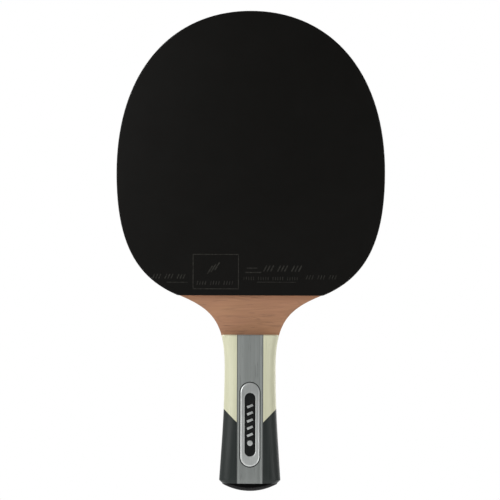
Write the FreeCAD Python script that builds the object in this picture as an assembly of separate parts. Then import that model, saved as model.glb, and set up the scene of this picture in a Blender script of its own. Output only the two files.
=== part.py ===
"""Table tennis bat: a five-ply blade, two sponge-backed rubbers, and a flared handle with a badge and a cap.

Lengths are millimetres. While the pieces are built, z = 0 is the butt end, +Z runs up the bat to the top of
its head, the front faces -Y, and y = 0 is the middle of the blade. The last step moves the origin to the
grip's centre.
"""
import FreeCAD, Part
import math
import os

Vector = FreeCAD.Vector
ORIGIN = Vector(0, 0, 0)
RIGHTWARDS = Vector(1, 0, 0)
REARWARDS = Vector(0, 1, 0)
UPWARDS = Vector(0, 0, 1)

# Blade, seen from the front
HEAD_WIDTH = 150.0          # over the edge tape
HEAD_LENGTH = 159.0         # top of the edge tape to the rubbers' straight lower edge
WIDEST_BELOW_TOP = 90.5     # top of the edge tape to the widest place of the head
CROWN_FULLNESS = 0.58
SIDE_FULLNESS_ABOVE = 0.638  # how far the sides stay upright above the widest place
SIDE_FULLNESS_BELOW = 0.606  # and below it
SHOULDER_FULLNESS = 0.69
SHOULDER_SLOPE = 22.2       # degrees, the blade's edge where the rubbers end
RUBBER_EDGE_WIDTH = 79.6    # blade's width where the rubbers end
NECK_LENGTH = 21.9          # rubbers' lower edge to the top of the handle
NECK_FULLNESS = 0.75
WAIST_FULLNESS = 0.636

# Blade and covering, from the middle outwards
CORE_THICKNESS = 2.8
CROSS_PLY_THICKNESS = 0.9
VENEER_THICKNESS = 0.6
SPONGE_THICKNESS = 2.0
TOPSHEET_THICKNESS = 1.8
TAPE_THICKNESS = 0.3
TAPE_WIDTH = 8.0

# Handle, seen from the front
HANDLE_LENGTH = 87.4        # butt end to the top of the scales
WAIST_BELOW_TOP = 17.4      # top of the scales to the handle's narrowest place
WAIST_WIDTH = 28.5
BUTT_WIDTH = 34.2
FLARE_ANGLE = 3.7           # degrees, the sides' lean at the butt
FLARE_FULLNESS = 0.4
BUTT_BEVEL = 1.9            # at the sides, and its height all round
TOP_BEVEL = 0.6

# Handle, seen from the side
HANDLE_TOP_THICKNESS = 22.4
WAIST_THICKNESS = 22.0
BUTT_THICKNESS = 24.8
CORNER_RUN = 6.6            # width of the rounding along each long edge
CORNER_DROP = 6.0           # depth of the same rounding
CORNER_FULLNESS = 0.56
CROWN_RISE = 0.35           # the face between the roundings is this much higher in its middle
FACE_BEVEL = 0.6            # depth of the bevel at the butt on the front and rear
SCALE_SECTIONS = 7          # sections above and below the waist that shape a scale

# Strips of a scale, from the middle outwards
CENTRE_BAND_WIDTH = 11.2
EDGE_BAND_WIDTH = 1.3
PINSTRIPE_WIDTH = 0.4
CHEEK_JOINT_HEIGHT = 38.6   # where the joint of the cheeks meets the strips
CHEEK_JOINT_ANGLE = 45.5    # degrees, its rise towards the outside

# Butt cap
CAP_HEIGHT = 4.5
CAP_RIM = 0.5
CAP_OVERHANG = 0.1          # past the bevelled end of the handle
PEG_DIAMETER = 4.0
PEG_LENGTH = 8.0
PEG_CLEARANCE = 0.05        # round the peg and at its tip

# Badge in the front centre band, whose pocket cuts a little way into the edge bands
BADGE_WIDTH = 11.3
BADGE_LENGTH = 47.3
BADGE_HEIGHT = 37.4         # butt end to the badge's centre
BADGE_DEPTH = 1.2           # into the band
BADGE_PROUD = 0.35
BADGE_CLEARANCE = 0.2
BADGE_RIM = 2.6             # at the sides
BADGE_END_RIM = 5.9
INSERT_CLEARANCE = 0.05
INSERT_RECESS = 0.45        # below the bezel's face
STRIPE_COUNT = 5
STRIPE_WIDTH = 1.3
STRIPE_LENGTH = 3.4
STRIPE_PITCH = 4.0
STRIPE_SLANT = 24.0         # degrees
STRIPE_THICKNESS = 0.15
DOT_DIAMETER = 3.0
DOT_GAP = 4.6               # centre of the lowest stripe to the centre of the dot

GRIP_HEIGHT = 45.0          # butt end to the grip's centre, which becomes the origin

# Places that follow from the sizes above
WAIST_HEIGHT = HANDLE_LENGTH - WAIST_BELOW_TOP
RUBBER_EDGE = HANDLE_LENGTH + NECK_LENGTH
BLADE_TOP = RUBBER_EDGE + HEAD_LENGTH - TAPE_THICKNESS
WIDEST = RUBBER_EDGE + HEAD_LENGTH - WIDEST_BELOW_TOP
BEVEL_TOP = CAP_HEIGHT + BUTT_BEVEL
SCALE_FACE_TOP = HANDLE_LENGTH - TOP_BEVEL
CROSS_PLY_START = CORE_THICKNESS / 2
VENEER_START = CROSS_PLY_START + CROSS_PLY_THICKNESS
BLADE_FACE = VENEER_START + VENEER_THICKNESS
SPONGE_FACE = BLADE_FACE + SPONGE_THICKNESS
EDGE_BAND_START = CENTRE_BAND_WIDTH / 2
PINSTRIPE_START = EDGE_BAND_START + EDGE_BAND_WIDTH
CHEEK_START = PINSTRIPE_START + PINSTRIPE_WIDTH
BEYOND = 2 * HEAD_WIDTH     # reach of the blocks that cut a shape apart


def bezier_point(poles, t):
    """Point of a cubic curve given by four (x, z) poles."""
    weights = ((1 - t) ** 3, 3 * t * (1 - t) ** 2, 3 * t * t * (1 - t), t ** 3)
    return tuple(sum(w * pole[axis] for w, pole in zip(weights, poles)) for axis in (0, 1))


def edge_in_front_plane(poles):
    """Straight line or cubic curve through (x, z) poles, in the plane y = 0."""
    points = [Vector(x, 0, z) for x, z in poles]
    if len(points) == 2:
        return Part.makeLine(*points)
    curve = Part.BezierCurve()
    curve.setPoles(points)
    return curve.toShape()


def crown_poles():
    half = HEAD_WIDTH / 2 - TAPE_THICKNESS
    side = WIDEST + SIDE_FULLNESS_ABOVE * (BLADE_TOP - WIDEST)
    return [(0, BLADE_TOP), (CROWN_FULLNESS * half, BLADE_TOP), (half, side), (half, WIDEST)]


def shoulder_poles():
    half = HEAD_WIDTH / 2 - TAPE_THICKNESS
    end = RUBBER_EDGE_WIDTH / 2
    reach = SHOULDER_FULLNESS * (half - end)
    slope = math.radians(SHOULDER_SLOPE)
    side = WIDEST - SIDE_FULLNESS_BELOW * (WIDEST - RUBBER_EDGE)
    before_end = (end + reach * math.cos(slope), RUBBER_EDGE + reach * math.sin(slope))
    return [(half, WIDEST), (half, side), before_end, (end, RUBBER_EDGE)]


def neck_poles():
    start = RUBBER_EDGE_WIDTH / 2
    waist = WAIST_WIDTH / 2
    reach = NECK_FULLNESS * (start - waist)
    slope = math.radians(SHOULDER_SLOPE)
    after_start = (start - reach * math.cos(slope), RUBBER_EDGE - reach * math.sin(slope))
    above_waist = (waist, WAIST_HEIGHT + WAIST_FULLNESS * (RUBBER_EDGE - WAIST_HEIGHT))
    return [(start, RUBBER_EDGE), after_start, above_waist, (waist, WAIST_HEIGHT)]


def flare_poles():
    waist = WAIST_WIDTH / 2
    butt = BUTT_WIDTH / 2
    reach = FLARE_FULLNESS * (WAIST_HEIGHT - BEVEL_TOP)
    lean = math.radians(FLARE_ANGLE)
    above_butt = (butt - reach * math.sin(lean), BEVEL_TOP + reach * math.cos(lean))
    return [(waist, WAIST_HEIGHT), (waist, WAIST_HEIGHT - reach), above_butt, (butt, BEVEL_TOP)]


def half_thickness_poles():
    """Side view of a scale below the waist, as (y, z)."""
    waist = WAIST_THICKNESS / 2
    butt = BUTT_THICKNESS / 2
    reach = (WAIST_HEIGHT - BEVEL_TOP) / 3
    near_waist = (waist, WAIST_HEIGHT - reach)
    near_butt = (butt, BEVEL_TOP + reach)
    return [(waist, WAIST_HEIGHT), near_waist, near_butt, (butt, BEVEL_TOP)]


def curve_at_height(poles, height):
    """Distance from the middle at a height, on a curve that runs downwards."""
    low, high = 0.0, 1.0
    for _ in range(50):
        middle = (low + high) / 2
        if bezier_point(poles, middle)[1] > height:
            low = middle
        else:
            high = middle
    return bezier_point(poles, low)[0]


def handle_half_width(height):
    return curve_at_height(neck_poles() if height > WAIST_HEIGHT else flare_poles(), height)


def handle_half_thickness(height):
    if height <= WAIST_HEIGHT:
        return curve_at_height(half_thickness_poles(), height)
    along = (height - WAIST_HEIGHT) / (HANDLE_LENGTH - WAIST_HEIGHT)
    return (WAIST_THICKNESS + (HANDLE_TOP_THICKNESS - WAIST_THICKNESS) * along ** 2) / 2


def blade_face():
    """Outline of the blade and its tang, as a face in the plane y = 0."""
    butt = BUTT_WIDTH / 2
    end = butt - BUTT_BEVEL
    bevel = [(butt, BEVEL_TOP), (end, CAP_HEIGHT)]
    runs = [crown_poles(), shoulder_poles(), neck_poles(), flare_poles(), bevel]
    right = [edge_in_front_plane(poles) for poles in runs]
    left = [edge.mirror(ORIGIN, RIGHTWARDS) for edge in right]
    bottom = edge_in_front_plane([(-end, CAP_HEIGHT), (end, CAP_HEIGHT)])
    return Part.Face(Part.Wire(Part.__sortEdges__(right + [bottom] + left)))


def block(x_range, y_range, z_range):
    corner = Vector(x_range[0], y_range[0], z_range[0])
    sides = [span[1] - span[0] for span in (x_range, y_range, z_range)]
    return Part.makeBox(*sides, corner)


def above(height):
    return block((-BEYOND, BEYOND), (-BEYOND, BEYOND), (height, height + 2 * BEYOND))


def layer(face, start, thickness):
    """Board of a given outline, lying behind the plane y = start."""
    moved = face.copy()
    moved.translate(start * REARWARDS)
    return moved.extrude(thickness * REARWARDS)


def to_front(shape):
    """The same piece on the front half of the bat."""
    return shape.mirror(ORIGIN, REARWARDS)


def make_plies():
    face = blade_face()
    cross_ply = layer(face, CROSS_PLY_START, CROSS_PLY_THICKNESS)
    veneer = layer(face, VENEER_START, VENEER_THICKNESS)
    return {
        "core_ply": layer(face, -CORE_THICKNESS / 2, CORE_THICKNESS),
        "rear_cross_ply": cross_ply,
        "front_cross_ply": to_front(cross_ply),
        "rear_face_veneer": veneer,
        "front_face_veneer": to_front(veneer),
    }


def make_coverings():
    head = blade_face().common(above(RUBBER_EDGE)).Faces[0]
    sponge = layer(head, BLADE_FACE, SPONGE_THICKNESS)
    rubber = layer(head, SPONGE_FACE, TOPSHEET_THICKNESS)
    return {
        "rear_sponge": sponge,
        "front_sponge": to_front(sponge),
        "rear_rubber": rubber,
        "front_rubber": to_front(rubber),
    }


def make_edge_tape():
    """Strip bent round the head's rim, from one end of the rubbers' straight edge to the other."""
    inside = blade_face()
    around = inside.makeOffset2D(TAPE_THICKNESS).toNurbs()
    outside = Part.Face(Part.Wire(Part.__sortEdges__(around.Edges)))
    ring = outside.cut(inside).common(above(RUBBER_EDGE)).Faces[0]
    return {"edge_tape": layer(ring, -TAPE_WIDTH / 2, TAPE_WIDTH)}


def scale_section(half_width, face, height):
    """Closed outline of one scale at a height: upright sides, two roundings and a gently crowned face."""
    run = min(CORNER_RUN, 0.9 * half_width)
    drop = min(CORNER_DROP, 0.9 * (face - BLADE_FACE))
    flat = half_width - run
    shoulder = face - CROWN_RISE
    lean = 2 * CROWN_RISE / flat
    corner = [
        (half_width, shoulder - drop),
        (half_width, shoulder - drop + CORNER_FULLNESS * drop),
        (flat + CORNER_FULLNESS * run, shoulder - CORNER_FULLNESS * run * lean),
        (flat, shoulder),
    ]
    poles = [
        [(half_width, 0), (half_width, shoulder - drop)],
        corner,
        [(flat, shoulder), (0, face + CROWN_RISE), (-flat, shoulder)],
        [(-x, y) for x, y in reversed(corner)],
        [(-half_width, shoulder - drop), (-half_width, 0)],
        [(-half_width, 0), (half_width, 0)],
    ]
    edges = []
    for points in poles:
        curve = Part.BezierCurve()
        curve.setPoles([Vector(x, y, height) for x, y in points])
        edges.append(curve.toShape())
    return Part.Wire(edges)


def section_at(height, narrower=0.0, thinner=0.0, level=None):
    """Section of a scale at a height, drawn in at its sides and face, and moved to a level if given."""
    half_width = handle_half_width(height) - narrower
    face = handle_half_thickness(height) - thinner
    return scale_section(half_width, face, height if level is None else level)


def scale_envelope():
    """The rear scale in one piece, before it is parted into strips and cheeks."""
    flare = WAIST_HEIGHT - BEVEL_TOP
    throat = SCALE_FACE_TOP - WAIST_HEIGHT
    heights = [BEVEL_TOP + flare * i / SCALE_SECTIONS for i in range(SCALE_SECTIONS)]
    heights += [WAIST_HEIGHT + throat * i / SCALE_SECTIONS for i in range(SCALE_SECTIONS + 1)]
    sections = [section_at(height) for height in heights]
    butt = section_at(BEVEL_TOP, BUTT_BEVEL, FACE_BEVEL, CAP_HEIGHT)
    top = section_at(SCALE_FACE_TOP, TOP_BEVEL, TOP_BEVEL, HANDLE_LENGTH)
    body = Part.makeLoft(sections, True, False)
    bevels = [Part.makeLoft(pair, True, True) for pair in ([butt, sections[0]], [sections[-1], top])]
    behind_blade = block((-BEYOND, BEYOND), (BLADE_FACE, BEYOND), (0, HANDLE_LENGTH))
    return body.fuse(bevels).common(behind_blade)


def peg(radius, length):
    """Rear peg of the cap, or its hole: upright, halfway through the scale."""
    middle = (BLADE_FACE + handle_half_thickness(BEVEL_TOP)) / 2
    return Part.makeCylinder(radius, length, Vector(0, middle, CAP_HEIGHT))


def strip(scale, start, end):
    """Full-length strip of a scale between two distances from its middle."""
    return scale.common(block((start, end), (-BEYOND, BEYOND), (0, HANDLE_LENGTH)))


def below_cheek_joint():
    """Everything to the right of the strips and under the slanting joint of the cheeks."""
    rise = BEYOND * math.tan(math.radians(CHEEK_JOINT_ANGLE))
    corners = [
        Vector(CHEEK_START, -BEYOND, -BEYOND),
        Vector(CHEEK_START, -BEYOND, CHEEK_JOINT_HEIGHT),
        Vector(CHEEK_START + BEYOND, -BEYOND, CHEEK_JOINT_HEIGHT + rise),
        Vector(CHEEK_START + BEYOND, -BEYOND, -BEYOND),
    ]
    return Part.Face(Part.makePolygon(corners + corners[:1])).extrude(2 * BEYOND * REARWARDS)


def saw_apart(scale, side):
    """Strips and cheeks of one scale; left and right are as seen by someone facing the bat's front."""
    cheek = strip(scale, CHEEK_START, BEYOND)
    right = {
        "edge_band": strip(scale, EDGE_BAND_START, PINSTRIPE_START),
        "pinstripe": strip(scale, PINSTRIPE_START, CHEEK_START),
        "upper_cheek": cheek.cut(below_cheek_joint()),
        "lower_cheek": cheek.common(below_cheek_joint()),
    }
    pieces = {side + "_centre_band": strip(scale, -EDGE_BAND_START, EDGE_BAND_START)}
    for name, shape in right.items():
        pieces[side + "_right_" + name] = shape
        pieces[side + "_left_" + name] = shape.mirror(ORIGIN, RIGHTWARDS)
    return pieces


def make_scales():
    hole = peg(PEG_DIAMETER / 2 + PEG_CLEARANCE, PEG_LENGTH + PEG_CLEARANCE)
    rear = scale_envelope().cut(hole)
    front = to_front(rear).cut(place_badge(badge_pocket()))
    return {**saw_apart(rear, "rear"), **saw_apart(front, "front")}


def cap_outline():
    """Outline of the cap: both scales' sections at the bevelled end, set out by the overhang."""
    half = Part.Face(section_at(BEVEL_TOP, BUTT_BEVEL - CAP_OVERHANG, FACE_BEVEL - CAP_OVERHANG, 0))
    return half.fuse(to_front(half)).removeSplitter()


def make_end_cap():
    half_width = handle_half_width(BEVEL_TOP) - BUTT_BEVEL + CAP_OVERHANG
    dome_height = CAP_HEIGHT - CAP_RIM
    radius = (half_width ** 2 + dome_height ** 2) / (2 * dome_height)
    plate = cap_outline().extrude(CAP_HEIGHT * UPWARDS)
    dome = Part.makeSphere(radius, radius * UPWARDS)
    rear_peg = peg(PEG_DIAMETER / 2, PEG_LENGTH)
    return {"end_cap": plate.common(dome).fuse([rear_peg, to_front(rear_peg)])}


def half_round(width, level, depth):
    """Arc over the top of an upright bar, or under its bottom if the width is negative."""
    radius = width / 2
    crest = Vector(0, depth, level + radius)
    return Part.Arc(Vector(radius, depth, level), crest, Vector(-radius, depth, level))


def stadium(width, length, start, end):
    """Upright bar with round ends, between two depths behind the band's face."""
    straight = (length - width) / 2
    top = half_round(width, straight, start)
    bottom = half_round(-width, -straight, start)
    left = Part.makeLine(top.EndPoint, bottom.StartPoint)
    right = Part.makeLine(bottom.EndPoint, top.StartPoint)
    outline = Part.Wire([top.toShape(), left, bottom.toShape(), right])
    return Part.Face(outline).extrude((end - start) * REARWARDS)


def place_badge(shape):
    """Moves a shape from the badge's own frame onto the front face of the handle, along its slope."""
    low = handle_half_thickness(BADGE_HEIGHT - BADGE_LENGTH / 2)
    high = handle_half_thickness(BADGE_HEIGHT + BADGE_LENGTH / 2)
    slope = math.degrees(math.atan2(low - high, BADGE_LENGTH))
    placed = shape.copy()
    placed.rotate(ORIGIN, RIGHTWARDS, -slope)
    placed.translate(Vector(0, -(low + high) / 2, BADGE_HEIGHT))
    return placed


def badge_pocket():
    width = BADGE_WIDTH + 2 * BADGE_CLEARANCE
    length = BADGE_LENGTH + 2 * BADGE_CLEARANCE
    return stadium(width, length, -WAIST_THICKNESS, BADGE_DEPTH)


def badge_marks():
    """Slanted bars in a row up the insert, with a round dot under them."""
    bar = Part.makeBox(STRIPE_LENGTH, STRIPE_THICKNESS, STRIPE_WIDTH)
    bar.translate(Vector(-STRIPE_LENGTH / 2, 0, -STRIPE_WIDTH / 2))
    bar.rotate(ORIGIN, REARWARDS, -STRIPE_SLANT)
    dot = Part.makeCylinder(DOT_DIAMETER / 2, STRIPE_THICKNESS, ORIGIN, REARWARDS)
    lowest = (DOT_GAP - (STRIPE_COUNT - 1) * STRIPE_PITCH) / 2
    dot.translate(Vector(0, 0, lowest - DOT_GAP))
    marks = [dot]
    for i in range(STRIPE_COUNT):
        mark = bar.copy()
        mark.translate(Vector(0, 0, lowest + i * STRIPE_PITCH))
        marks.append(mark)
    face = INSERT_RECESS - BADGE_PROUD
    for mark in marks:
        mark.translate(Vector(0, face - STRIPE_THICKNESS, 0))
    return Part.makeCompound(marks)


def make_badge():
    slot_width = BADGE_WIDTH - 2 * BADGE_RIM
    slot_length = BADGE_LENGTH - 2 * BADGE_END_RIM
    face = INSERT_RECESS - BADGE_PROUD
    bezel = stadium(BADGE_WIDTH, BADGE_LENGTH, -BADGE_PROUD, BADGE_DEPTH)
    slot = stadium(slot_width, slot_length, -BADGE_DEPTH, 2 * BADGE_DEPTH)
    loose = 2 * INSERT_CLEARANCE
    insert = stadium(slot_width - loose, slot_length - loose, face, BADGE_DEPTH)
    return {
        "badge_bezel": place_badge(bezel.cut(slot)),
        "badge_insert": place_badge(insert),
        "badge_stripes": place_badge(badge_marks()),
    }


def main():
    pieces = {}
    for make in (make_plies, make_coverings, make_edge_tape, make_scales, make_end_cap, make_badge):
        pieces.update(make())
    os.makedirs("parts", exist_ok=True)
    for name, shape in pieces.items():
        shape.translate(-GRIP_HEIGHT * UPWARDS)
        shape.exportStep("parts/" + name + ".step")
        print(f"{name:26s} solids {len(shape.Solids)} valid {shape.isValid()} volume {shape.Volume:.1f}")


main()
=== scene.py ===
"""Table tennis bat: the finished look of the blade, rubbers, edge tape, inlaid handle, badge and butt cap.

Lengths are metres in the bat's own frame: +Z up the handle to the top of the head, the front towards -Y, and
the origin in the middle of the grip.
"""
import math
import random

import bmesh
import bpy
import numpy as np
from mathutils import Matrix, Vector


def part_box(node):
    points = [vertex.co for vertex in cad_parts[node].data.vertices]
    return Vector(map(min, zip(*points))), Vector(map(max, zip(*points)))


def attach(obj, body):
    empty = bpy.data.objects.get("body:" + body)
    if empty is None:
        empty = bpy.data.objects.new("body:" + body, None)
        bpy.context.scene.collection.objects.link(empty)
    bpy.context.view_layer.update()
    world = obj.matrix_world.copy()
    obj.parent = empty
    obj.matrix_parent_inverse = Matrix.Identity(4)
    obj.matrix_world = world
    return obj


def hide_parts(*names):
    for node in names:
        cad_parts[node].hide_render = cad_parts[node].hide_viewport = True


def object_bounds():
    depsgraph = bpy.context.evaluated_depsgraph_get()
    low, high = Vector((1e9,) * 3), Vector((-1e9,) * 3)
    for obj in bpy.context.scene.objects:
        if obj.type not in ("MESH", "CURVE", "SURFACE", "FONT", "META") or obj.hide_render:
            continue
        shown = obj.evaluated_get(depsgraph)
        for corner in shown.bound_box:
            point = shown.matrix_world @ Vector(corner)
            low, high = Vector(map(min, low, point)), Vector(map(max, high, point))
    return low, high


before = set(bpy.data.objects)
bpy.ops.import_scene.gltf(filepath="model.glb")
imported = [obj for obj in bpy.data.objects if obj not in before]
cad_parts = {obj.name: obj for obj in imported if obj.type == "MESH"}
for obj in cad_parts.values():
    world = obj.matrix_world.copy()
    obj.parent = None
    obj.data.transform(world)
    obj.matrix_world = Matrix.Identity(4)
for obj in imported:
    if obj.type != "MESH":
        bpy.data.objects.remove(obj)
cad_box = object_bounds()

bl_info = {
    "name": "Table Tennis Bat",
    "version": (1, 0, 0),
    "blender": (4, 5, 0),
    "location": "View3D > Sidebar > Bat",
    "description": "Builds the visible pieces of a table tennis bat round its solid model",
    "category": "Object",
}

MM = 0.001
SIDES = ("front", "rear")
HANDS = ("left", "right")
STRIPS = ("pinstripe", "edge_band", "upper_cheek", "lower_cheek")

# Heights between which painted light changes the tone of the handle's woods and of the badge's rim
BUTT_HEIGHT, SHOULDER_HEIGHT = -45 * MM, 42 * MM
BADGE_FOOT, BADGE_MIDDLE = -34 * MM, 10 * MM
# How far above a topsheet's face the moulded marks begin to take their painted sheen, and take it fully
SHEEN_FROM, SHEEN_TO = 0.03 * MM, 0.09 * MM

# In a copy of a CAD mesh, points nearer than this are joined, faces that meet at less than the first angle
# become one, and edges that turn more than the second are eased
WELD_DISTANCE = 0.002 * MM
FLAT_ANGLE = math.radians(0.5)
EDGE_ANGLE = math.radians(28)
# Steps round each end of the badge
ROUND_STEPS = 32

# Name, place, size and power setting of each light, in metres
LIGHTS = (
    ("key", (-0.92, -0.88, 0.42), 0.7, "key"),
    ("fill", (0.95, -0.85, -0.16), 0.5, "fill"),
    ("back_left", (-0.7, 1.0, 0.7), 0.7, "back"),
    ("back_right", (0.8, 0.9, 0.4), 0.7, "back"),
)


# Sizes and colours that a user would change

def length(name, description, millimetres):
    """Property for a length."""
    return bpy.props.FloatProperty(
        name=name, description=description, default=millimetres * MM, min=0.0, precision=5, unit="LENGTH")


def colour(name, description, red, green, blue):
    """Property for a linear colour."""
    return bpy.props.FloatVectorProperty(
        name=name, description=description, default=(red, green, blue), min=0.0, max=1.0, subtype="COLOR")


def power(name, description, watts):
    """Property for the power of a light."""
    return bpy.props.FloatProperty(name=name, description=description, default=watts, min=0.0, unit="POWER")


class BatSizes(bpy.types.PropertyGroup):
    """Sizes of the details that the solid model leaves out"""
    rim_step: length("Rim step", "Spacing of points round the rubbers' outline", 1.2)
    sheet: length("Sheet", "Thickness of a topsheet without its pimples", 0.9)
    sheet_edge: length("Sheet edge", "Rounding of a topsheet's outer edge", 0.25)
    pimple: length("Pimple", "Diameter of a pimple", 1.5)
    pimple_pitch: length("Pimple pitch", "Distance between neighbouring pimples", 2.1)
    pimple_band: length("Pimple band", "How far in from the rim pimples are made", 4.5)
    mark_height: length("Mark height", "How far the moulded marks stand out of a topsheet", 0.14)
    sponge_grain: length("Sponge grain", "Roughness of the sponge's cut edge", 0.05)
    wood_ease: length("Wood ease", "Rounding where the blade's faces meet its edge", 0.3)
    seam_ease: length("Seam ease", "Rounding of the edges where the handle's woods meet", 0.09)
    bezel_gap: length("Bezel gap", "Extra gap round the badge's rim", 0.27)
    # Depth under the rim's face of the black ring that paints the shadow round the badge
    gap_shadow_depth: length("Gap shadow depth", "How far the glue round the badge lies under its rim's face", 0.55)
    bezel_shoulder: length("Bezel shoulder", "Rounding of the badge's outer edge", 0.85)
    bezel_lip: length("Bezel lip", "Rounding of the badge's rim round its insert", 0.3)
    stripe_ease: length("Stripe ease", "Rounding of the marks on the badge", 0.06)
    cap_ease: length("Cap ease", "Rounding of the butt cap's rim", 0.5)


class BatColours(bpy.types.PropertyGroup):
    """Base colours of the bat's finishes"""
    front_rubber: colour("Front rubber", "Topsheet on the front", 0.0042, 0.0039, 0.0033)
    rear_rubber: colour("Rear rubber", "Topsheet on the rear", 0.36, 0.0045, 0.0075)
    # The marks' colours are a painted sheen on their raised tops
    front_marks_sheen: colour("Front marks", "Marks moulded on the front topsheet", 0.032, 0.031, 0.027)
    rear_marks_sheen: colour("Rear marks", "Marks moulded on the rear topsheet", 0.42, 0.03, 0.03)
    sponge: colour("Sponge", "Foam under the topsheets", 0.80, 0.50, 0.16)
    tape: colour("Tape", "Edge tape", 0.012, 0.012, 0.013)
    veneer: colour("Veneer", "Face veneers of the blade", 0.388, 0.199, 0.107)
    core: colour("Core", "Core ply", 0.62, 0.45, 0.27)
    cross_ply: colour("Cross ply", "Plies between the core and the face veneers", 0.36, 0.20, 0.10)
    band: colour("Band", "Grey wood of the centre bands", 0.212, 0.226, 0.218)
    edge_band: colour("Edge band", "Paler grey wood beside the centre bands", 0.245, 0.262, 0.252)
    pinstripe: colour("Pinstripe", "Thin dark lines beside the cheeks", 0.075, 0.080, 0.079)
    cream: colour("Cream", "Upper cheeks", 0.60, 0.598, 0.428)
    charcoal: colour("Charcoal", "Lower cheeks", 0.027, 0.032, 0.0305)
    cap: colour("Cap", "Butt cap", 0.003, 0.003, 0.003)
    silver: colour("Silver", "Rim of the badge", 0.52, 0.54, 0.53)
    marks: colour("Marks", "Bars and dot on the badge", 0.55, 0.57, 0.56)
    insert: colour("Insert", "Black middle of the badge", 0.011, 0.012, 0.012)


class BatStage(bpy.types.PropertyGroup):
    """Floor, lights and camera"""
    floor_drop: length("Floor drop", "Distance from the butt end down to the floor", 310)
    floor_size: length("Floor size", "Diameter of the floor", 4200)
    camera_distance: length("Camera distance", "Distance from the middle of the bat to the camera", 3000)
    frame_height: length("Frame height", "Height of the camera's view at the bat", 279.6)
    aim_height: length("Aim height", "Height above the origin that the camera looks at", 89.7)
    aim_side: bpy.props.FloatProperty(
        name="Aim side", description="Distance to the right of the middle that the camera looks at",
        default=-0.3 * MM, precision=5, unit="LENGTH")
    roll: bpy.props.FloatProperty(
        name="Roll", description="Turn of the camera about its line of sight",
        default=math.radians(-0.2), subtype="ANGLE")
    key: power("Key", "Power of the key light", 11.6)
    fill: power("Fill", "Power of the fill light", 3.8)
    back: power("Back", "Power of each of the two back lights", 9.0)
    glow: bpy.props.FloatProperty(name="Glow", description="Strength of the surrounding light", default=0.55)


# Shader building

class Finish:
    """A procedural material under construction, in the bat's own coordinates."""

    def __init__(self, name, **constants):
        self.material = bpy.data.materials.new(name)
        self.material.use_nodes = True
        self.tree = self.material.node_tree
        self.shader = self.tree.nodes["Principled BSDF"]
        self.place = self.add("TexCoord").outputs["Object"]
        for socket, value in constants.items():
            self.shader.inputs[socket.replace("_", " ")].default_value = value

    def add(self, kind, inputs=None, **settings):
        """Adds a node, with its settings and with values or links for its inputs."""
        node = self.tree.nodes.new("ShaderNode" + kind)
        for key, value in settings.items():
            setattr(node, key, value)
        for socket, value in (inputs or {}).items():
            if isinstance(value, bpy.types.NodeSocket):
                self.tree.links.new(value, node.inputs[socket])
            else:
                node.inputs[socket].default_value = value
        return node

    def noise(self, per_metre, detail, roughness=0.55, distortion=0.0, shift=0.0):
        """Cloudy pattern with its own number of features per metre along x, y and z."""
        inputs = {"Vector": self.place, "Scale": per_metre, "Location": (shift, shift, shift)}
        place = self.add("Mapping", inputs).outputs[0]
        inputs = {"Vector": place, "Scale": 1.0, "Detail": detail,
                  "Roughness": roughness, "Distortion": distortion}
        return self.add("TexNoise", inputs).outputs["Fac"]

    def cells(self, per_metre):
        """Distance from the centres of scattered cells."""
        place = self.add("Mapping", {"Vector": self.place, "Scale": per_metre}).outputs[0]
        inputs = {"Vector": place, "Scale": 1.0, "Randomness": 1.0}
        return self.add("TexVoronoi", inputs).outputs["Distance"]

    def ramp(self, value, low, high, start=0.0, end=1.0):
        """Smooth step of a value from one range to another."""
        inputs = {"Value": value, "From Min": low, "From Max": high, "To Min": start, "To Max": end}
        return self.add("MapRange", inputs, interpolation_type="SMOOTHSTEP").outputs[0]

    def maths(self, operation, a, b=0.0):
        """Result of an operation on one or two values."""
        return self.add("Math", {0: a, 1: b}, operation=operation).outputs[0]

    def mix(self, factor, a, b, blend="MIX"):
        """Blend of two colours."""
        node = self.add("Mix", data_type="RGBA", blend_type=blend)
        for socket, value in ((node.inputs["Factor"], factor), (node.inputs[6], a), (node.inputs[7], b)):
            if isinstance(value, bpy.types.NodeSocket):
                self.tree.links.new(value, socket)
            else:
                socket.default_value = value
        return node.outputs[2]

    def wear(self, colour, roughness=None, heights=()):
        """Links the patterns to the shader. Heights are (value, metres) pairs that add up as relief."""
        self.tree.links.new(colour, self.shader.inputs["Base Color"])
        if roughness is not None:
            self.tree.links.new(roughness, self.shader.inputs["Roughness"])
        normal = None
        for value, depth in heights:
            inputs = {"Height": value, "Distance": depth, "Strength": 1.0}
            if normal is not None:
                inputs["Normal"] = normal
            normal = self.add("Bump", inputs).outputs[0]
        if normal is not None:
            self.tree.links.new(normal, self.shader.inputs["Normal"])
        return self.material


def shade(rgb, factor):
    """A colour made lighter or darker, with its alpha."""
    return (*[min(1.0, channel * factor) for channel in rgb], 1.0)


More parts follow.
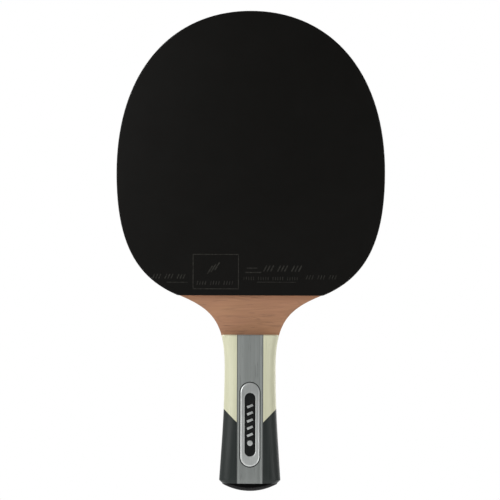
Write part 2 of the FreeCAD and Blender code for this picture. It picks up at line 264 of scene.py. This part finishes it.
def veneer_finish(rgb):
    """Lacquered reddish face veneer, its grain across the bat: streaks, growth lines and short dark pores."""
    finish = Finish("veneer", Coat_Weight=0.2, Coat_Roughness=0.3)
    streaks = finish.noise((26, 90, 420), detail=5, distortion=0.9)
    clouds = finish.noise((30, 30, 70), detail=2, shift=3.0)
    fibres = finish.noise((90, 700, 2600), detail=4, roughness=0.7, shift=7.0)
    pores = finish.ramp(finish.noise((95, 500, 1700), detail=1, distortion=0.25, shift=11.0), 0.665, 0.72)
    growth = finish.noise((14, 40, 130), detail=2, roughness=0.45, distortion=0.6, shift=17.0)
    rings = finish.maths("PINGPONG", finish.maths("MULTIPLY", growth, 9.0), 1.0)
    lines = finish.maths("MULTIPLY", finish.ramp(rings, 0.72, 1.0), finish.ramp(streaks, 0.4, 0.6, 0.15, 0.6))
    redder = (rgb[0], rgb[1] * 0.93, rgb[2] * 1.02)
    colour = finish.mix(finish.ramp(streaks, 0.3, 0.7), shade(rgb, 0.9), shade(rgb, 1.1))
    colour = finish.mix(lines, colour, shade(rgb, 0.66))
    colour = finish.mix(finish.ramp(clouds, 0.35, 0.65, 0.0, 0.5), colour, shade(redder, 0.93))
    colour = finish.mix(finish.ramp(fibres, 0.35, 0.75, 0.0, 0.35), colour, shade(rgb, 0.72))
    colour = finish.mix(finish.maths("MULTIPLY", pores, 0.6), colour, shade(rgb, 0.45))
    roughness = finish.ramp(streaks, 0.2, 0.8, 0.38, 0.5)
    unpitted = finish.maths("SUBTRACT", 1.0, pores)
    return finish.wear(colour, roughness, [(fibres, 0.02 * MM), (unpitted, 0.05 * MM)])


def ply_finish(name, rgb, per_metre):
    """Cut edge of a ply: fine fibres with darker growth lines."""
    finish = Finish(name)
    fibres = finish.noise(per_metre, detail=5, roughness=0.65)
    growth = finish.noise(tuple(0.12 * rate for rate in per_metre), detail=2, shift=5.0)
    colour = finish.mix(finish.ramp(fibres, 0.3, 0.7), shade(rgb, 0.7), shade(rgb, 1.12))
    colour = finish.mix(finish.ramp(growth, 0.45, 0.65, 0.0, 0.5), colour, shade(rgb, 0.6))
    return finish.wear(colour, finish.ramp(fibres, 0.2, 0.8, 0.65, 0.5), [(fibres, 0.04 * MM)])


def dyed_wood_finish(name, rgb, contrast, lines, gloss=0.4):
    """Dyed and lacquered handle wood, its grain along the handle, with painted light from above: lighter
    towards the shoulder, darker towards the butt.
    """
    finish = Finish(name, Specular_IOR_Level=gloss)
    fibres = finish.noise((2400, 2400, 28), detail=4, roughness=0.6)
    bands = finish.noise((420, 420, 9), detail=3, distortion=0.3, shift=4.0)
    pores = finish.ramp(finish.noise((1500, 1500, 90), detail=1, shift=9.0), 0.64, 0.70)
    height = finish.add("SeparateXYZ", {0: finish.place}).outputs["Z"]
    # Painted light from above: the wood is lighter near the shoulder and darker towards the butt
    painted_top_light = finish.ramp(height, BUTT_HEIGHT, SHOULDER_HEIGHT, 0.93, 1.06)
    colour = finish.mix(finish.ramp(bands, 0.3, 0.7), shade(rgb, 1 - contrast), shade(rgb, 1 + contrast))
    colour = finish.mix(1.0, colour, painted_top_light, "MULTIPLY")
    colour = finish.mix(finish.ramp(fibres, 0.35, 0.7, 0.0, 0.5), colour, shade(rgb, 1 - 1.6 * contrast))
    colour = finish.mix(finish.maths("MULTIPLY", pores, lines), colour, shade(rgb, 0.55))
    roughness = finish.ramp(bands, 0.2, 0.8, 0.34, 0.44)
    unpitted = finish.maths("SUBTRACT", 1.0, pores)
    return finish.wear(colour, roughness, [(fibres, 0.012 * MM), (unpitted, 0.02 * MM)])


def rubber_finish(name, rgb, sheen_level, face, marks):
    """Topsheet: even satin rubber with a faint mottle, and a painted sheen that makes the raised tops of its
    marks paler, patchy like rubbed wear.
    """
    finish = Finish(name, Specular_IOR_Level=sheen_level)
    mottle = finish.noise((60, 60, 60), detail=4)
    skin = finish.noise((2600, 2600, 2600), detail=2, shift=2.0)
    colour = finish.mix(finish.ramp(mottle, 0.3, 0.7), shade(rgb, 0.975), shade(rgb, 1.025))
    depth = finish.add("SeparateXYZ", {0: finish.place}).outputs["Y"]
    # Painted sheen on the raised tops of the marks, patchy like rubbed wear
    raised = finish.ramp(finish.maths("ABSOLUTE", depth), face + SHEEN_FROM, face + SHEEN_TO)
    rubbed_wear_and_sheen = finish.ramp(finish.noise((700, 700, 700), detail=3, shift=5.0), 0.3, 0.7, 0.35, 1.0)
    colour = finish.mix(finish.maths("MULTIPLY", raised, rubbed_wear_and_sheen), colour, (*marks, 1.0))
    roughness = finish.ramp(mottle, 0.25, 0.75, 0.44, 0.47)
    return finish.wear(colour, roughness, [(skin, 0.006 * MM), (mottle, 0.02 * MM)])


def sponge_finish(rgb):
    """Open foam: a mesh of bright walls round small dark cells."""
    finish = Finish("sponge", Roughness=0.9)
    cells = finish.cells((3600, 3600, 3600))
    clouds = finish.noise((500, 500, 500), detail=3)
    colour = finish.mix(finish.ramp(cells, 0.15, 0.5), shade(rgb, 0.5), shade(rgb, 1.1))
    colour = finish.mix(finish.ramp(clouds, 0.3, 0.7, 0.0, 0.35), colour, shade(rgb, 0.8))
    return finish.wear(colour, None, [(cells, 0.12 * MM), (clouds, 0.08 * MM)])


def tape_finish(rgb):
    """Woven edge tape: ribs along the rim, crossed by a fine uneven weft."""
    finish = Finish("edge_tape", Specular_IOR_Level=0.35)
    across = finish.add("Mapping", {"Vector": finish.place, "Scale": (0, 1700, 0)}).outputs[0]
    ribs = finish.add("TexWave", {"Vector": across, "Scale": 1.0}, bands_direction="Y").outputs["Fac"]
    weft = finish.noise((2200, 300, 2200), detail=2)
    colour = finish.mix(finish.ramp(weft, 0.3, 0.7), shade(rgb, 0.7), shade(rgb, 1.7))
    return finish.wear(colour, finish.ramp(weft, 0.3, 0.7, 0.6, 0.8), [(ribs, 0.05 * MM), (weft, 0.04 * MM)])


def silver_finish(name, rgb):
    """Satin metallised plastic, finely brushed along the badge, with painted light that makes it brighter
    towards the butt.
    """
    finish = Finish(name, Metallic=0.55)
    brushing = finish.noise((5200, 2500, 60), detail=3)
    clouds = finish.noise((160, 160, 160), detail=2, shift=6.0)
    height = finish.add("SeparateXYZ", {0: finish.place}).outputs["Z"]
    # Painted light from below: brighter at the badge's foot than at its middle
    painted_lower_light = finish.ramp(height, BADGE_FOOT, BADGE_MIDDLE, 1.25, 0.97)
    colour = finish.mix(finish.ramp(brushing, 0.3, 0.7), shade(rgb, 0.9), shade(rgb, 1.1))
    colour = finish.mix(1.0, colour, painted_lower_light, "MULTIPLY")
    roughness = finish.ramp(clouds, 0.3, 0.7, 0.3, 0.38)
    return finish.wear(colour, roughness, [(brushing, 0.004 * MM)])


def plastic_finish(name, rgb, smoothest, roughest, **constants):
    """Black moulded plastic with handling haze."""
    finish = Finish(name, **constants)
    haze = finish.noise((220, 220, 220), detail=4)
    skin = finish.noise((1800, 1800, 1800), detail=2, shift=8.0)
    colour = finish.mix(haze, shade(rgb, 0.8), shade(rgb, 1.3))
    return finish.wear(colour, finish.ramp(haze, 0.3, 0.7, smoothest, roughest), [(skin, 0.008 * MM)])


# Mesh building

def cad_mesh(node):
    """Mesh of a CAD piece."""
    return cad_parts[node].data


def new_piece(name, mesh, slot, material, *stands_for):
    """Shows a mesh as one piece of the bat, in place of the CAD pieces that it stands for."""
    piece = bpy.data.objects.new(name, mesh)
    bpy.context.scene.collection.objects.link(piece)
    mesh.materials.clear()
    mesh.materials.append(material)
    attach(piece, "root")
    if stands_for:
        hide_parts(*stands_for)


def mesh_from(bm, name, sharp=35.0):
    """Finished mesh, smooth except at edges sharper than an angle in degrees.

    Normals that came with a CAD mesh no longer fit once its edges are eased, so they go.
    """
    bmesh.ops.recalc_face_normals(bm, faces=bm.faces)
    mesh = bpy.data.meshes.new(name)
    bm.to_mesh(mesh)
    bm.free()
    if mesh.has_custom_normals:
        mesh.attributes.remove(mesh.attributes["custom_normal"])
    mesh.shade_smooth()
    mesh.set_sharp_from_angle(angle=math.radians(sharp))
    return mesh


def recolour(node, material):
    """Gives a CAD piece whose shape is already right its finish."""
    mesh = cad_mesh(node)
    mesh.materials.clear()
    mesh.materials.append(material)


def eased_copy(node, width, segments=2):
    """Copy of a CAD piece with every sharp edge slightly rounded."""
    bm = bmesh.new()
    bm.from_mesh(cad_mesh(node))
    bmesh.ops.remove_doubles(bm, verts=bm.verts, dist=WELD_DISTANCE)
    bmesh.ops.dissolve_limit(bm, angle_limit=FLAT_ANGLE, verts=bm.verts, edges=bm.edges)
    sharp = [edge for edge in bm.edges if len(edge.link_faces) == 2 and edge.calc_face_angle() > EDGE_ANGLE]
    bmesh.ops.bevel(
        bm, geom=sharp, offset=width, segments=segments, profile=0.6, affect="EDGES", clamp_overlap=True)
    return mesh_from(bm, node)


def half_outline(node):
    """Right-hand edge of a flat CAD piece from the top of the bat downwards, as rows of (x, z)."""
    # Rounded to a thousandth of a millimetre, so that two points one behind the other count once
    points = {(round(v.co.x, 6), round(v.co.z, 6)) for v in cad_mesh(node).vertices if v.co.x > -0.001 * MM}
    return np.array(sorted(points, key=lambda point: -point[1]))


def smooth_outline(node, step):
    """Closed smooth outline of a head-shaped CAD piece, evenly spaced and clockwise from the head's top."""
    half = half_outline(node)
    reach = np.concatenate([[0.0], np.cumsum(np.linalg.norm(np.diff(half, axis=0), axis=1))])
    even = np.linspace(0.0, reach[-1], int(reach[-1] / step) + 1)
    # Cubic curves through the piece's own points, level at the top
    slopes = np.gradient(half, reach, axis=0)
    slopes[0] = (1.0, 0.0)
    index = np.clip(np.searchsorted(reach, even) - 1, 0, len(reach) - 2)
    gap = (reach[index + 1] - reach[index])[:, None]
    t = ((even - reach[index])[:, None]) / gap
    right = ((2 * t ** 3 - 3 * t ** 2 + 1) * half[index] + (t ** 3 - 2 * t ** 2 + t) * gap * slopes[index]
             + (3 * t ** 2 - 2 * t ** 3) * half[index + 1] + (t ** 3 - t ** 2) * gap * slopes[index + 1])
    # The straight lower edge from right to left
    edge = np.linspace(right[-1], right[-1] * (-1, 1), int(2 * right[-1][0] / step) + 1)[1:-1]
    left = right[::-1][:-1] * (-1, 1)
    return np.concatenate([right, edge, left])


def inset(loop, distance):
    """A closed clockwise loop of (x, z) drawn in by a distance."""
    before = loop - np.roll(loop, 1, axis=0)
    after = np.roll(loop, -1, axis=0) - loop
    normals = []
    for run in (before, after):
        run = run / np.linalg.norm(run, axis=1)[:, None]
        normals.append(np.stack([run[:, 1], -run[:, 0]], axis=1))
    inward = normals[0] + normals[1]
    inward /= np.linalg.norm(inward, axis=1)[:, None]
    # A corner moves further than the sides that meet there, but no more than twice as far
    lengthen = 1 / np.maximum(0.5, (inward * normals[0]).sum(axis=1))
    return loop + inward * (distance * lengthen)[:, None]


def add_rings(bm, rings, hollow=False):
    """Skins a row of closed loops of 3-D points. The ends are closed, or joined to each other if hollow."""
    rows = [[bm.verts.new(point) for point in ring] for ring in rings]
    for lower, upper in zip(rows, rows[1:] + (rows[:1] if hollow else [])):
        for i in range(len(lower)):
            j = (i + 1) % len(lower)
            bm.faces.new((lower[i], lower[j], upper[j], upper[i]))
    if not hollow:
        bm.faces.new(rows[0][::-1])
        bm.faces.new(rows[-1])


def stadium(wide, long, x=0.0, z=0.0, slant=0.0, steps=ROUND_STEPS):
    """Closed clockwise outline of a bar with round ends, standing upright unless it is slanted."""
    radius, straight = wide / 2, (long - wide) / 2
    turns = [math.pi * (1 - i / steps) for i in range(steps + 1)]
    upper = [(radius * math.cos(turn), straight + radius * math.sin(turn)) for turn in turns]
    loop = np.array(upper + [(-a, -b) for a, b in upper])
    turn = math.radians(slant)
    spin = np.array(((math.cos(turn), -math.sin(turn)), (math.sin(turn), math.cos(turn))))
    return loop @ spin + (x, z)


def quarter_turn(steps):
    """Angles from 0 to 90 degrees for an edge's rounding."""
    return [math.radians(90) * i / steps for i in range(steps + 1)]


def at_depth(loop, y):
    """A loop of (x, z) as points at a depth."""
    return [(x, y, z) for x, z in loop]


def faces_of(node, side):
    """Inner and outer depth of a flat CAD piece, seen from the middle of the blade."""
    low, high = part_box(node)
    return (high.y, low.y) if side == "front" else (low.y, high.y)


# Rubbers

def nearest_on(loop, point):
    """Nearest place to a point on a closed clockwise loop, its distance, and whether the point is inside."""
    run = np.roll(loop, -1, axis=0) - loop
    t = np.clip(((point - loop) * run).sum(axis=1) / (run ** 2).sum(axis=1), 0, 1)
    places = loop + run * t[:, None]
    gaps = np.linalg.norm(places - point, axis=1)
    i = int(gaps.argmin())
    side = run[i][0] * (point[1] - loop[i][1]) - run[i][1] * (point[0] - loop[i][0])
    return places[i], gaps[i], side < 0


def pimple_centres(loop, pitch, band):
    """Centres of the pimples that can be seen from the rim, in staggered rows."""
    low, high = loop.min(axis=0), loop.max(axis=0)
    row_gap = pitch * math.sqrt(3) / 2
    for row in range(int((high[1] - low[1]) / row_gap) + 2):
        z = low[1] + row * row_gap
        for column in range(int((high[0] - low[0]) / pitch) + 2):
            x = low[0] + (column + 0.5 * (row % 2)) * pitch
            _, gap, inside = nearest_on(loop, np.array((x, z)))
            if (inside and gap < band) or (not inside and gap < 0.3 * pitch):
                yield x, z


def add_pimples(bm, loop, sizes, root, tip):
    """Short tapered posts between the sheet and the sponge; those on the rim are cut off flush with it."""
    radius, corners = sizes.pimple / 2, 12
    trim = inset(loop, 0.02 * MM)
    for x, z in pimple_centres(loop, sizes.pimple_pitch, sizes.pimple_band):
        rings = []
        for depth, spread in ((root, 1.12), (0.7 * root + 0.3 * tip, 1.0), (tip, 0.94)):
            ring = []
            for i in range(corners):
                turn = math.tau * i / corners
                point = np.array((x + spread * radius * math.cos(turn), z + spread * radius * math.sin(turn)))
                place, _, inside = nearest_on(trim, point)
                ring.append(point if inside else place)
            rings.append(at_depth(ring, depth))
        add_rings(bm, rings)


def mark_row(start, end, level, long, pitch, slant, wide, group):
    """Row of slanted bars from one x to another at a level, in groups whose last bar is left out as a gap."""
    for i in range(int((end - start) / pitch) + 1):
        if i % group != group - 1:
            yield wide, long, start + i * pitch, level, slant


def mould_marks():
    """Plain bars moulded near the topsheet's lower edge, in millimetres: width, length, x, z and slant."""
    # A frame, with three strokes and a row of short bars in it
    for x in (-32.0, -6.7):
        yield 0.5, 19.2, x, 77.6, 0
    for z in (68.0, 87.2):
        yield 0.5, 25.8, -19.35, z, 90
    for x, z in ((-22.6, 78.6), (-20.6, 79.6), (-18.6, 80.6)):
        yield 0.8, 5.4, x, z, 32
    yield from mark_row(-29.6, -9.5, 71.3, 2.3, 1.5, 12, 0.5, 5)
    # Right of it: two short rules, a tall row, a low row and a long rule
    yield 0.6, 9.0, 1.6, 77.2, 90
    yield 0.6, 6.0, 0.9, 79.6, 90
    yield from mark_row(8.2, 30.5, 79.4, 4.0, 1.95, 28, 0.75, 4)
    yield from mark_row(-3.6, 27.5, 73.8, 1.9, 1.35, 0, 0.45, 6)
    yield 0.35, 22.0, 14.5, 71.8, 90
    # Far right and far left: one row each, with a rule under the left one
    yield from mark_row(31.5, 48.0, 74.6, 2.6, 1.6, 20, 0.5, 4)
    yield from mark_row(-54.0, -34.8, 74.9, 3.0, 1.7, 24, 0.6, 4)
    yield 0.4, 12.0, -41.0, 71.6, 90


def add_marks(bm, sizes, face, inwards, mirrored):
    """Raised bars with eased tops, sunk a little into a topsheet's face."""
    ease = 0.35 * sizes.mark_height
    foot = face + inwards * 0.2 * MM
    top = face - inwards * sizes.mark_height
    for wide, long, x, z, slant in mould_marks():
        loop = stadium(wide * MM, long * MM, x * MM, z * MM, slant, steps=4)
        if mirrored:
            loop = (loop * (-1, 1))[::-1]
        sides = [at_depth(loop, foot), at_depth(loop, top + inwards * ease)]
        add_rings(bm, sides + [at_depth(inset(loop, ease), top)])


def make_rubber(side, sizes, material):
    """Topsheet with a softly rounded edge, standing on its pimples."""
    node = side + "_rubber"
    inner, outer = faces_of(node, side)
    inwards = math.copysign(1, inner - outer)
    back = outer + inwards * sizes.sheet
    ease = sizes.sheet_edge
    loop = smooth_outline(node, sizes.rim_step)
    bm = bmesh.new()
    rings = []
    for turn in quarter_turn(4):
        drawn_in, sunk = ease * (1 - math.sin(turn)), ease * (1 - math.cos(turn))
        rings.append(at_depth(inset(loop, drawn_in), outer + inwards * sunk))
    chamfer = 0.1 * MM
    rings.append(at_depth(loop, back - inwards * chamfer))
    rings.append(at_depth(inset(loop, chamfer), back))
    add_rings(bm, rings)
    add_pimples(bm, loop, sizes, back - inwards * chamfer / 2, inner)
    add_marks(bm, sizes, outer, inwards, side == "rear")
    new_piece(side + "_topsheet", mesh_from(bm, node), side_slot(side), material, node)


def side_slot(side):
    """Slot of a side's rubber."""
    return "black_rubber" if side == "front" else "red_rubber"


def make_sponge(side, sizes, material, draw):
    """Foam layer whose cut edge is slightly ragged."""
    node = side + "_sponge"
    inner, outer = faces_of(node, side)
    loop = smooth_outline(node, sizes.rim_step)
    inwards = inset(loop, 1.0) - loop
    bm = bmesh.new()
    rings, steps = [], 8
    for i in range(steps + 1):
        ragged = np.array([sizes.sponge_grain * draw.random() for _ in loop])
        rings.append(at_depth(loop + inwards * ragged[:, None], inner + (outer - inner) * i / steps))
    add_rings(bm, rings)
    new_piece(side + "_foam", mesh_from(bm, node, 60.0), "sponge", material, node)


# Badge

def badge_frame():
    """Place of the badge on the handle's face: x to the right, y into the handle and z up the face."""
    mesh = cad_mesh("badge_bezel")
    # The rim's flat face, which looks forwards
    front = [face for face in mesh.polygons if face.normal.y < -0.9]
    inwards = -sum((face.normal * face.area for face in front), Vector()).normalized()
    corners = [mesh.vertices[i].co for face in front for i in face.vertices]
    low = Vector(min(corner[axis] for corner in corners) for axis in range(3))
    high = Vector(max(corner[axis] for corner in corners) for axis in range(3))
    right = Vector((1, 0, 0))
    place = Matrix((right, inwards, right.cross(inwards))).transposed().to_4x4()
    place.translation = (low + high) / 2
    return place


def badge_size(node, place):
    """Width and length of a badge piece, and its outer and inner depths, in the badge's own frame."""
    corners = np.array([place.inverted() @ vertex.co for vertex in cad_mesh(node).vertices])
    low, high = corners.min(axis=0), corners.max(axis=0)
    return high[0] - low[0], high[2] - low[2], low[1], high[1]


def make_gap_shadow(sizes, material):
    """Black ring that paints the shadow in the gap round the badge, from just inside the pocket's wall to
    just under the badge's rim.
    """
    place = badge_frame()
    wide, long, face, floor = badge_size("badge_bezel", place)
    outer_spread, inner_spread = 0.36 * MM, -2 * sizes.bezel_gap - 0.1 * MM
    outer = stadium(wide + outer_spread, long + outer_spread)
    inner = stadium(wide + inner_spread, long + inner_spread)
    top = face + sizes.gap_shadow_depth
    rings = [at_depth(outer, floor), at_depth(outer, top), at_depth(inner, top), at_depth(inner, floor)]
    bm = bmesh.new()
    add_rings(bm, rings, hollow=True)
    bm.transform(place)
    new_piece("badge_bead", mesh_from(bm, "badge_bead"), "insert", material)


def make_bezel(sizes, material):
    """Rim of the badge: rounded down to its pocket outside, and gently eased down to the insert inside."""
    place = badge_frame()
    wide, long, face, floor = badge_size("badge_bezel", place)
    wide, long = wide - 2 * sizes.bezel_gap, long - 2 * sizes.bezel_gap
    slot_wide, slot_long, *_ = badge_size("badge_insert", place)
    insert_gap = 0.05 * MM
    shoulder, lip = sizes.bezel_shoulder, sizes.bezel_lip
    drop = 0.7 * shoulder

    def outer_ring(drawn_in, depth):
        return at_depth(stadium(wide - 2 * drawn_in, long - 2 * drawn_in), depth)

    def inner_ring(set_out, depth):
        spread = 2 * (insert_gap + set_out)
        return at_depth(stadium(slot_wide + spread, slot_long + spread), depth)

    rings = [outer_ring(0, floor)]
    for turn in quarter_turn(6):
        rings.append(outer_ring(shoulder * (1 - math.cos(turn)), face + drop * (1 - math.sin(turn))))
    for turn in quarter_turn(4):
        rings.append(inner_ring(lip * (1 - math.sin(turn)), face + lip * (1 - math.cos(turn))))
    rings.append(inner_ring(0, floor))
    bm = bmesh.new()
    add_rings(bm, rings, hollow=True)
    bm.transform(place)
    new_piece("badge_rim", mesh_from(bm, "badge_rim", 50.0), "bezel", material, "badge_bezel")


# Operators

class BAT_OT_rubbers(bpy.types.Operator):
    """Make the two topsheets, with the pimples that show round the rim"""
    bl_idname = "bat.rubbers"
    bl_label = "Rubbers"

    def execute(self, context):
        sizes, colours = context.scene.bat_sizes, context.scene.bat_colours
        front, rear = -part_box("front_rubber")[0].y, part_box("rear_rubber")[1].y
        black = rubber_finish("black_rubber", colours.front_rubber, 0.12, front, colours.front_marks_sheen)
        red = rubber_finish("red_rubber", colours.rear_rubber, 0.2, rear, colours.rear_marks_sheen)
        for side, material in zip(SIDES, (black, red)):
            make_rubber(side, sizes, material)
        return {"FINISHED"}


class BAT_OT_sponges(bpy.types.Operator):
    """Make the foam layers under the topsheets"""
    bl_idname = "bat.sponges"
    bl_label = "Sponges"

    def execute(self, context):
        material = sponge_finish(context.scene.bat_colours.sponge)
        draw = random.Random(4)
        for side in SIDES:
            make_sponge(side, context.scene.bat_sizes, material, draw)
        return {"FINISHED"}


class BAT_OT_blade(bpy.types.Operator):
    """Finish the plies and make the face veneers with eased edges"""
    bl_idname = "bat.blade"
    bl_label = "Blade"

    def execute(self, context):
        sizes, colours = context.scene.bat_sizes, context.scene.bat_colours
        veneer = veneer_finish(colours.veneer)
        cross_ply = ply_finish("cross_ply", colours.cross_ply, (2600, 5200, 2600))
        recolour("core_ply", ply_finish("core_ply", colours.core, (300, 4200, 900)))
        recolour("edge_tape", tape_finish(colours.tape))
        for side in SIDES:
            recolour(side + "_cross_ply", cross_ply)
            node = side + "_face_veneer"
            new_piece(side + "_veneer", eased_copy(node, sizes.wood_ease), "face_veneer", veneer, node)
        return {"FINISHED"}


class BAT_OT_handle(bpy.types.Operator):
    """Make the strips and cheeks of both handle scales"""
    bl_idname = "bat.handle"
    bl_label = "Handle"

    def execute(self, context):
        sizes, colours = context.scene.bat_sizes, context.scene.bat_colours
        grey = dyed_wood_finish("grey_wood", colours.band, 0.1, 0.5)
        dark = dyed_wood_finish("dark_wood", colours.pinstripe, 0.1, 0.3)
        pale_grey = dyed_wood_finish("pale_grey_wood", colours.edge_band, 0.06, 0.3)
        cream = dyed_wood_finish("cream_wood", colours.cream, 0.035, 0.2)
        charcoal = dyed_wood_finish("charcoal_wood", colours.charcoal, 0.12, 0.5, 0.16)
        finishes = {
            "pinstripe": ("dark_wood", dark),
            "edge_band": ("grey_wood", pale_grey),
            "upper_cheek": ("cream_wood", cream),
            "lower_cheek": ("charcoal_wood", charcoal),
        }
        for side in SIDES:
            node = side + "_centre_band"
            new_piece(side + "_band", eased_copy(node, sizes.seam_ease), "grey_wood", grey, node)
            for hand in HANDS:
                for strip in STRIPS:
                    slot, material = finishes[strip]
                    node = "_".join((side, hand, strip))
                    new_piece(node + "_wood", eased_copy(node, sizes.seam_ease), slot, material, node)
        return {"FINISHED"}


class BAT_OT_badge(bpy.types.Operator):
    """Make the badge: domed rim, black insert, its plain marks and the black ring that paints the shadow
    round it
    """
    bl_idname = "bat.badge"
    bl_label = "Badge"

    def execute(self, context):
        sizes, colours = context.scene.bat_sizes, context.scene.bat_colours
        make_bezel(sizes, silver_finish("bezel", colours.silver))
        marks = eased_copy("badge_stripes", sizes.stripe_ease)
        new_piece("badge_marks", marks, "stripes", silver_finish("stripes", colours.marks), "badge_stripes")
        recolour("badge_insert", plastic_finish("insert", colours.insert, 0.12, 0.2))
        # A black ring in the gap round the badge paints its shadow
        make_gap_shadow(sizes, plastic_finish("bead", colours.cap, 0.6, 0.7, Specular_IOR_Level=0.1))
        return {"FINISHED"}


class BAT_OT_cap(bpy.types.Operator):
    """Make the domed butt cap"""
    bl_idname = "bat.cap"
    bl_label = "Butt Cap"

    def execute(self, context):
        sizes, colours = context.scene.bat_sizes, context.scene.bat_colours
        material = plastic_finish("cap", colours.cap, 0.45, 0.55, Specular_IOR_Level=0.012)
        new_piece("butt_cap", eased_copy("end_cap", sizes.cap_ease, 3), "cap", material, "end_cap")
        return {"FINISHED"}


def add_light(name, place, size, watts, aim):
    """Square soft light at a place, facing the bat."""
    lamp = bpy.data.lights.new(name, "AREA")
    lamp.shape = "SQUARE"
    lamp.size = size
    lamp.energy = watts
    light = bpy.data.objects.new(name, lamp)
    bpy.context.scene.collection.objects.link(light)
    light.visible_camera = False
    light.location = place
    light.rotation_euler = (Vector(aim) - Vector(place)).to_track_quat("-Z", "Y").to_euler()


def make_world(glow):
    """White surroundings that give little light from the front, so that the front rubber stays black."""
    world = bpy.data.worlds.new("studio")
    bpy.context.scene.world = world
    world.use_nodes = True
    tree = world.node_tree
    background = tree.nodes["Background"]
    seen = tree.nodes.new("ShaderNodeBackground")
    seen.inputs["Strength"].default_value = 1.0
    seen.inputs["Color"].default_value = (1, 1, 1, 1)
    place = tree.nodes.new("ShaderNodeTexCoord")
    split = tree.nodes.new("ShaderNodeSeparateXYZ")
    tree.links.new(place.outputs["Generated"], split.inputs[0])
    ramp = tree.nodes.new("ShaderNodeMapRange")
    ramp.interpolation_type = "SMOOTHSTEP"
    # Full light from the back and the sides, 6 % of it from straight ahead of the bat's front
    for socket, value in (("From Min", -0.95), ("From Max", -0.35), ("To Min", 0.06), ("To Max", 1.0)):
        ramp.inputs[socket].default_value = value
    tree.links.new(split.outputs["Y"], ramp.inputs["Value"])
    strength = tree.nodes.new("ShaderNodeMath")
    strength.operation = "MULTIPLY"
    strength.inputs[1].default_value = glow
    tree.links.new(ramp.outputs[0], strength.inputs[0])
    tree.links.new(strength.outputs[0], background.inputs["Strength"])
    background.inputs["Color"].default_value = (1, 1, 1, 1)
    rays = tree.nodes.new("ShaderNodeLightPath")
    mix = tree.nodes.new("ShaderNodeMixShader")
    tree.links.new(rays.outputs["Is Camera Ray"], mix.inputs[0])
    tree.links.new(background.outputs[0], mix.inputs[1])
    tree.links.new(seen.outputs[0], mix.inputs[2])
    tree.links.new(mix.outputs[0], tree.nodes["World Output"].inputs[0])


def make_floor(stage, level):
    """Round pale floor that fades out towards its edge."""
    bm = bmesh.new()
    bmesh.ops.create_circle(bm, cap_ends=True, segments=96, radius=stage.floor_size / 2)
    floor = bpy.data.objects.new("floor", mesh_from(bm, "floor"))
    floor.location.z = level
    bpy.context.scene.collection.objects.link(floor)
    paint = Finish("pale_floor", Roughness=0.6, Specular_IOR_Level=0.2)
    clouds = paint.noise((4, 4, 4), detail=2)
    reach = paint.add("VectorMath", {0: paint.place}, operation="LENGTH").outputs["Value"]
    fade = paint.ramp(reach, 0.08 * stage.floor_size, 0.5 * stage.floor_size, 1.0, 0.0)
    paint.tree.links.new(fade, paint.shader.inputs["Alpha"])
    white = (1.0, 1.0, 1.0)
    floor.data.materials.append(paint.wear(paint.mix(clouds, shade(white, 0.86), shade(white, 0.89))))


def make_camera(stage):
    """Camera straight in front of the bat, far enough away to show it almost flat."""
    data = bpy.data.cameras.new("camera")
    data.sensor_width = 36.0
    data.lens = data.sensor_width * stage.camera_distance / stage.frame_height
    camera = bpy.data.objects.new("camera", data)
    bpy.context.scene.collection.objects.link(camera)
    camera.location = (stage.aim_side, -stage.camera_distance, stage.aim_height)
    camera.rotation_euler = (math.radians(90), stage.roll, 0)
    bpy.context.scene.camera = camera


class BAT_OT_stage(bpy.types.Operator):
    """Make the pale floor, the soft lights and the camera"""
    bl_idname = "bat.stage"
    bl_label = "Stage"

    def execute(self, context):
        stage = context.scene.bat_stage
        low, high = cad_box
        middle = (low + high) / 2
        context.scene.view_settings.view_transform = "Standard"
        make_camera(stage)
        make_world(stage.glow)
        make_floor(stage, low.z - stage.floor_drop)
        for name, place, size, setting in LIGHTS:
            add_light(name, place, size, getattr(stage, setting), middle)
        return {"FINISHED"}


class VIEW3D_PT_bat(bpy.types.Panel):
    """Makers of the bat's pieces, with their sizes and colours"""
    bl_label = "Table Tennis Bat"
    bl_idname = "VIEW3D_PT_bat"
    bl_space_type = "VIEW_3D"
    bl_region_type = "UI"
    bl_category = "Bat"

    def draw(self, context):
        for maker in MAKERS:
            self.layout.operator(maker.bl_idname)
        for group in (context.scene.bat_sizes, context.scene.bat_colours, context.scene.bat_stage):
            box = self.layout.box()
            for name in group.bl_rna.properties.keys():
                if name not in ("rna_type", "name"):
                    box.prop(group, name)


MAKERS = (
    BAT_OT_stage, BAT_OT_blade, BAT_OT_sponges, BAT_OT_rubbers, BAT_OT_handle, BAT_OT_badge, BAT_OT_cap,
)
GROUPS = (BatSizes, BatColours, BatStage)


def register():
    for group in GROUPS + MAKERS + (VIEW3D_PT_bat,):
        bpy.utils.register_class(group)
    bpy.types.Scene.bat_sizes = bpy.props.PointerProperty(type=BatSizes)
    bpy.types.Scene.bat_colours = bpy.props.PointerProperty(type=BatColours)
    bpy.types.Scene.bat_stage = bpy.props.PointerProperty(type=BatStage)


def unregister():
    for name in ("bat_sizes", "bat_colours", "bat_stage"):
        delattr(bpy.types.Scene, name)
    for group in reversed(GROUPS + MAKERS + (VIEW3D_PT_bat,)):
        bpy.utils.unregister_class(group)


def main():
    register()
    bpy.ops.bat.stage()
    bpy.ops.bat.blade()
    bpy.ops.bat.sponges()
    bpy.ops.bat.rubbers()
    bpy.ops.bat.handle()
    bpy.ops.bat.badge()
    bpy.ops.bat.cap()


if __name__ == "__main__":
    main()
